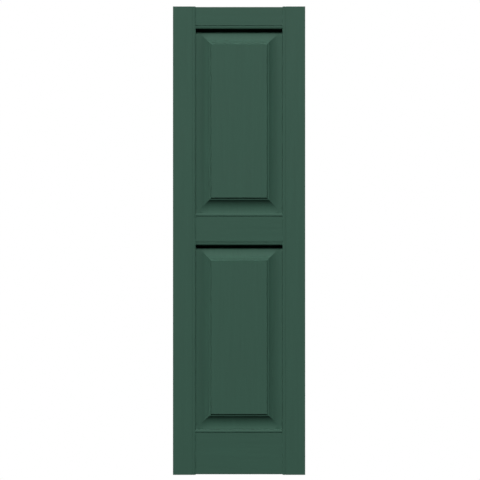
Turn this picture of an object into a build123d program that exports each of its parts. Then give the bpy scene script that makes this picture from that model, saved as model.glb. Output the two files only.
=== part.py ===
from build123d import *
import os

# Raised panel shutter for the side of a window: two stiles and three rails, grooved and
# moulded along every edge that faces a panel, hold two raised panels by their tongues.
# Frame: X runs across the shutter, -Y is the front, Y = 0 is the wall face, Z is up.
# The origin is the middle of the wall face. Sizes are in millimetres.

# Overall frame
shutter_width = 368.0
stile_length = 1303.0
stile_width = 63.0
stile_thickness = 32.0

# Rails
top_rail_height = 60.4
middle_rail_height = 88.0
bottom_rail_height = 124.4
rail_setback = 2.5
rail_end_inset = 1.1

# Quirked ovolo along the edges that face a panel
ovolo_width = 7.3
ovolo_crest = 5.0
ovolo_drop = 1.5
quirk_width = 1.5
quirk_depth = 1.8

# Rounded outer edges
front_arris_radius = 1.0
back_arris_radius = 1.0

# Groove, tongue and stub tenon
tongue_thickness = 8.0
groove_depth = 11.0
back_lip = 8.8
tongue_clearance = 0.3
tenon_clearance = 0.1
tenon_end_gap = 0.5
expansion_gap = 2.0

# Raised panel
panel_reveal = 43.8
field_drop = 0.2
upper_step_width = 2.8
upper_step_drop = 3.2
ledge_width = 3.6
ledge_drop = 1.0
lower_step_width = 1.9
lower_step_drop = 1.9
cove_hollow = 4.5
margin_width = 1.0

# Places worked out from the sizes above
opening_width = shutter_width - 2 * stile_width
rail_thickness = stile_thickness - rail_setback
frame_height = stile_length - 2 * rail_end_inset
rails_total = top_rail_height + middle_rail_height + bottom_rail_height
opening_height = (frame_height - rails_total) / 2
groove_width = tongue_thickness + 2 * tongue_clearance
groove_middle = -back_lip - groove_width / 2
tongue_reach = groove_depth - expansion_gap

bottom_rail_bottom = -frame_height / 2
bottom_rail_top = bottom_rail_bottom + bottom_rail_height
middle_rail_bottom = bottom_rail_top + opening_height
middle_rail_top = middle_rail_bottom + middle_rail_height
top_rail_bottom = middle_rail_top + opening_height

# Sections are drawn with their first axis across the board, towards the panel, and their
# second axis along Y. The upright plane runs a section along X, the level one along Z.
upright = Plane(origin=(0, 0, 0), x_dir=(0, 0, 1), z_dir=(-1, 0, 0))
level = Plane.XY


def block(low, high, back, front):
    """Rectangle between two places across the board and two depths."""
    return Pos((low + high) / 2, (back + front) / 2) * Rectangle(high - low, back - front)


def edge_moulding(thickness):
    """Section cut away along an edge at 0 that faces a panel: quirk, ovolo and groove."""
    face = -thickness
    ovolo_radius = (ovolo_crest**2 + ovolo_drop**2) / (2 * ovolo_drop)
    strip = block(-ovolo_width, 0, face + ovolo_drop, face)
    ovolo = Pos(-ovolo_crest, face + ovolo_radius) * Circle(ovolo_radius)
    quirk = block(-ovolo_width - quirk_width, -ovolo_width, face + quirk_depth, face)
    half_groove = groove_width / 2
    groove = block(-groove_depth, 0, groove_middle + half_groove, groove_middle - half_groove)
    return (strip - ovolo) + quirk + groove


def rounded_edge(section, place):
    """Round the front and back corners of a section at one outer edge."""
    corners = section.vertices().filter_by_position(Axis.X, place, place)
    front, back = corners.sort_by(Axis.Y)
    section = fillet(front, front_arris_radius)
    back = section.vertices().sort_by_distance(back.center())[0]
    return fillet(back, back_arris_radius)


def board_section(width, thickness, both_edges):
    """Section of a board with its panel edge at 0, and a second one at -width or a plain edge."""
    section = block(-width, 0, 0, -thickness)
    if both_edges:
        far_edge = Pos(-width, 0) * mirror(edge_moulding(thickness), about=Plane.YZ)
        return section - edge_moulding(thickness) - far_edge
    return rounded_edge(section, -width) - edge_moulding(thickness)


def left_stile():
    """Upright board with its moulded and grooved edge on the opening's left side."""
    section = Pos(-opening_width / 2, 0) * board_section(stile_width, stile_thickness, False)
    return extrude(level * section, amount=stile_length / 2, both=True)


def rail(section):
    """Level board along X between the stiles, with a stub tenon in each stile's groove."""
    half_tenon = tongue_thickness / 2 + tongue_clearance - tenon_clearance
    reach = section.bounding_box()
    strip = block(reach.min.X, reach.max.X, groove_middle + half_tenon, groove_middle - half_tenon)
    tenon_length = opening_width + 2 * (groove_depth - tenon_end_gap)
    board = extrude(upright * section, amount=opening_width / 2, both=True)
    tenons = extrude(upright * (section & strip), amount=tenon_length / 2, both=True)
    return board + tenons


def raised_section(opening):
    """Section through a panel whose tongues reach into the grooves on both sides of an opening."""
    back = groove_middle + tongue_thickness / 2
    margin = back - tongue_thickness
    field = -stile_thickness + field_drop
    ledge = field + upper_step_drop
    ledge_foot = ledge + ledge_drop
    cove_top = ledge_foot + lower_step_drop

    field_edge = opening / 2 - panel_reveal
    ledge_start = field_edge + upper_step_width
    ledge_end = ledge_start + ledge_width
    cove_start = ledge_end + lower_step_width
    cove_end = opening / 2 - margin_width
    tongue_end = opening / 2 + tongue_reach

    steps = Polyline(
        (0, field),
        (field_edge, field),
        (ledge_start, ledge),
        (ledge_end, ledge_foot),
        (cove_start, cove_top),
    )
    cove = SagittaArc((cove_start, cove_top), (cove_end, margin), cove_hollow)
    tongue = Polyline((cove_end, margin), (tongue_end, margin), (tongue_end, back), (0, back))
    middle = Line((0, back), (0, field))
    half = make_face([steps, cove, tongue, middle])
    return half + mirror(half, about=Plane.YZ)


def raised_panel():
    """Raised panel about its own middle, its border mitred where the two sections cross."""
    long_reach = opening_height / 2 + tongue_reach
    wide_reach = opening_width / 2 + tongue_reach
    across = extrude(level * raised_section(opening_width), amount=long_reach, both=True)
    upwards = extrude(upright * raised_section(opening_height), amount=wide_reach, both=True)
    return across & upwards


left = left_stile()
panel = raised_panel()
top_section = mirror(board_section(top_rail_height, rail_thickness, False), about=Plane.YZ)
middle_section = board_section(middle_rail_height, rail_thickness, True)
bottom_section = board_section(bottom_rail_height, rail_thickness, False)

pieces = {
    "left_stile": left,
    "right_stile": mirror(left, about=Plane.YZ),
    "top_rail": Pos(0, 0, top_rail_bottom) * rail(top_section),
    "middle_rail": Pos(0, 0, middle_rail_top) * rail(middle_section),
    "bottom_rail": Pos(0, 0, bottom_rail_top) * rail(bottom_section),
    "upper_panel": Pos(0, 0, middle_rail_top + opening_height / 2) * panel,
    "lower_panel": Pos(0, 0, bottom_rail_top + opening_height / 2) * panel,
}

os.makedirs("parts", exist_ok=True)
for name, piece in pieces.items():
    export_step(piece, f"parts/{name}.step")
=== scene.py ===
import math

import bpy
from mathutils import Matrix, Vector


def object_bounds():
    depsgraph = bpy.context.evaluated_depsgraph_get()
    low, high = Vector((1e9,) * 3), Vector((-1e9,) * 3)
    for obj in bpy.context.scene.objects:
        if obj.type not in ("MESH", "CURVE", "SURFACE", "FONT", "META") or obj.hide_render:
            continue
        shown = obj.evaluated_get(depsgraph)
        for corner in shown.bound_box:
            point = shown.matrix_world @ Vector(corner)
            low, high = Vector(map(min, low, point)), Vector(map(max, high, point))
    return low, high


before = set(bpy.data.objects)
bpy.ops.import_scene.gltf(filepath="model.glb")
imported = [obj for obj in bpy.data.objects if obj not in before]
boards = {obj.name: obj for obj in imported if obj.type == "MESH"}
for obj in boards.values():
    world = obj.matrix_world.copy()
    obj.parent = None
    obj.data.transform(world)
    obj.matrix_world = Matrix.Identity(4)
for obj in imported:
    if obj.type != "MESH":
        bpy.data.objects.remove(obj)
cad_low, cad_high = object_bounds()


# Stiles: the two upright boards at the sides, planed softwood, grooved and moulded along the
# inner edge. They are primed and sprayed with the rest in a satin green, and the grain runs up.
class Socket:
    """A shader socket on which sums are written in Python, with one Math node for each sign."""

    def __init__(self, tree, output):
        self.tree = tree
        self.output = output

    @classmethod
    def node(cls, tree, kind, settings, inputs, output=0):
        """A new node: its type, its settings, its sockets' values or links, and the output used."""
        made = tree.nodes.new(kind)
        for name, setting in settings.items():
            setattr(made, name, setting)
        for name, value in inputs.items():
            if isinstance(value, Socket):
                value.feed(made.inputs[name])
            else:
                made.inputs[name].default_value = value
        return cls(tree, made.outputs[output])

    def feed(self, socket):
        """Link this socket to another node's input."""
        self.tree.links.new(self.output, socket)

    def maths(self, operation, other):
        """A Math node between this socket and another one or a number."""
        return self.node(self.tree, "ShaderNodeMath", {"operation": operation}, {0: self, 1: other})

    def __add__(self, other):
        return self.maths("ADD", other)

    def __mul__(self, other):
        return self.maths("MULTIPLY", other)

    def __gt__(self, other):
        return self.maths("GREATER_THAN", other)

    __radd__ = __add__
    __rmul__ = __mul__


def noise(where, spot_width, detail):
    """Soft noise whose spots are about this wide, in metres of the place that it reads."""
    inputs = {"Vector": where, "Scale": 1 / spot_width, "Detail": detail}
    return Socket.node(where.tree, "ShaderNodeTexNoise", {}, inputs)


def green_paint(name, grain_stretch):
    """Satin green paint on a planed board: the grain shows faintly through a fine spray texture."""
    ring_width = 0.0083
    fibre_width = 0.0011
    droplet_width = 0.0011
    cloud_width = 0.14
    relief_depth = 0.0004
    thick_coat = (0.0151, 0.0580, 0.0374, 1.0)
    thin_coat = (0.0271, 0.0911, 0.0601, 1.0)

    paint = bpy.data.materials.new(name)
    paint.use_nodes = True
    tree = paint.node_tree
    shader = tree.nodes["Principled BSDF"]
    place = Socket.node(tree, "ShaderNodeTexCoord", {}, {}, "Object")
    along_board = Socket.node(tree, "ShaderNodeMapping", {}, {"Vector": place, "Scale": grain_stretch})
    rings = noise(along_board, ring_width, 3.0)
    fibres = noise(along_board, fibre_width, 3.0)
    spray = noise(place, droplet_width, 2.0)
    cloud = noise(place, cloud_width, 3.0)

    # A Mix node's colours are its inputs 6 and 7 and its output 2.
    thinness = cloud * 0.25 + rings * 0.4 + fibres * 0.35
    coats = {"Factor": thinness, 6: thick_coat, 7: thin_coat}
    colour = Socket.node(tree, "ShaderNodeMix", {"data_type": "RGBA"}, coats, 2)
    roughness = 0.72 + cloud * 0.1 + spray * 0.06
    height = rings * 0.6 + fibres * 0.35 + spray * 0.3
    relief = Socket.node(tree, "ShaderNodeBump", {}, {"Height": height, "Distance": relief_depth})
    colour.feed(shader.inputs["Base Color"])
    roughness.feed(shader.inputs["Roughness"])
    relief.feed(shader.inputs["Normal"])
    return paint


# Along the grain the pattern is drawn out to 25 times its width.
along_grain = 0.04
upright_paint = green_paint("upright_board_paint", (1.0, 1.0, along_grain))
for name in ("left_stile", "right_stile"):
    boards[name].material_slots[0].material = upright_paint


# Rails: the three level boards between the stiles, of the same wood with its grain running
# across. Stub tenons in the stile grooves hold them, and the paint closes the joints.
level_paint = green_paint("level_board_paint", (along_grain, 1.0, 1.0))
for name in ("top_rail", "middle_rail", "bottom_rail"):
    boards[name].material_slots[0].material = level_paint


# Panels: two glued-up boards, raised by a cutter into a flat field, a stepped edge and a coved
# border. They float in the frame's grooves by their tongues and are painted with it.
for name in ("upper_panel", "lower_panel"):
    boards[name].material_slots[0].material = upright_paint


# Floor: a plain pale studio floor, well below the shutter, which hangs as it does on a wall. It
# keeps the shutter's shadow but throws no light back up, so the shadows under the rails stay deep.
def in_sight(tree, coordinates):
    """1 for the camera's rays, and for those that a mirror or glass sends behind the wall face."""
    seen = Socket.node(tree, "ShaderNodeLightPath", {}, {}, "Is Camera Ray")
    mirrored = Socket.node(tree, "ShaderNodeLightPath", {}, {}, "Is Glossy Ray")
    through = Socket.node(tree, "ShaderNodeLightPath", {}, {}, "Is Transmission Ray")
    place = Socket.node(tree, "ShaderNodeTexCoord", {}, {}, coordinates)
    depth = Socket.node(tree, "ShaderNodeSeparateXYZ", {}, {"Vector": place}, "Y")
    return seen + (mirrored + through) * (depth > 0.0)


floor_drop = 0.5
floor_width = 12.0
floor_front = 6.0
floor_back = 2.5
floor_middle = (0.0, (floor_back - floor_front) / 2, cad_low.z - floor_drop)
bpy.ops.object.select_all(action="DESELECT")
bpy.ops.mesh.primitive_plane_add(size=1.0, location=floor_middle)
floor = bpy.context.object
floor.name = "studio_floor"
floor.scale = (floor_width, floor_front + floor_back, 1.0)
bpy.ops.object.transform_apply(location=True, rotation=True, scale=True)
pale = bpy.data.materials.new("pale_floor")
pale.use_nodes = True
tree = pale.node_tree
shader = tree.nodes["Principled BSDF"]
shader.inputs["Base Color"].default_value = (0.8, 0.8, 0.79, 1.0)
shader.inputs["Roughness"].default_value = 0.9
lit = Socket(tree, shader.outputs["BSDF"])
unlit = Socket.node(tree, "ShaderNodeBsdfDiffuse", {}, {"Color": (0.0, 0.0, 0.0, 1.0)})
shown = Socket.node(tree, "ShaderNodeMixShader", {}, {0: in_sight(tree, "Object"), 1: unlit, 2: lit})
shown.feed(tree.nodes["Material Output"].inputs["Surface"])
floor.data.materials.append(pale)


# Surroundings: white behind the shutter for the camera and for reflections, and almost no
# light from all round, so that the shadows under the rails stay deep.
world = bpy.data.worlds.new("studio")
bpy.context.scene.world = world
world.use_nodes = True
tree = world.node_tree
background = tree.nodes["Background"]
background.inputs["Color"].default_value = (1.0, 1.0, 1.0, 1.0)
ambient = 0.006
strength = in_sight(tree, "Generated") * (1 - ambient) + ambient
strength.feed(background.inputs["Strength"])


# Lamps: a soft key in front and above, a weaker lamp at each side, stronger on the left, that
# rakes across the bevels, and two behind for the back and the outer edges.
lamp_distance = 28.0
lamp_width = 7.1


def lamp(name, azimuth, elevation, power):
    """A round lamp aimed at the middle of the shutter. Azimuth 0 is in front, 90 on the left."""
    data = bpy.data.lights.new(name, "AREA")
    data.shape = "DISK"
    data.size = lamp_width
    data.energy = power
    made = bpy.data.objects.new(name, data)
    bpy.context.scene.collection.objects.link(made)
    turn = math.radians(azimuth)
    rise = math.radians(elevation)
    level = math.cos(rise)
    towards = Vector((-math.sin(turn) * level, -math.cos(turn) * level, math.sin(rise)))
    made.location = towards * lamp_distance
    made.rotation_euler = (-towards).to_track_quat("-Z", "Y").to_euler()


lamp("key_lamp", 0.0, 43.0, 8760.0)
lamp("left_lamp", 65.0, 22.0, 2040.0)
lamp("right_lamp", -65.0, 22.0, 590.0)
lamp("left_back_lamp", 130.0, 30.0, 5600.0)
lamp("right_back_lamp", -130.0, 30.0, 5600.0)


# Camera: square to the shutter and about level with its middle, as in the photograph, which is
# 480 pixels each way. The shutter's edges there, in pixels, set the lens and the framing.
photo_frame = 480.0
photo_left = 172.9
photo_right = 305.25
photo_top = 6.42
photo_bottom = 474.9
camera_distance = 3.8
pixel_size = (cad_high.z - cad_low.z) / (photo_bottom - photo_top)
camera_data = bpy.data.cameras.new("camera")
camera_data.lens = camera_data.sensor_width * camera_distance / (photo_frame * pixel_size)
camera = bpy.data.objects.new("camera", camera_data)
bpy.context.scene.collection.objects.link(camera)
camera.location = (
    (photo_frame - photo_left - photo_right) / 2 * pixel_size,
    cad_low.y - camera_distance,
    (photo_top + photo_bottom - photo_frame) / 2 * pixel_size,
)
camera.rotation_euler = (math.radians(90.0), 0.0, 0.0)
bpy.context.scene.camera = camera
bpy.context.scene.view_settings.view_transform = "Standard"
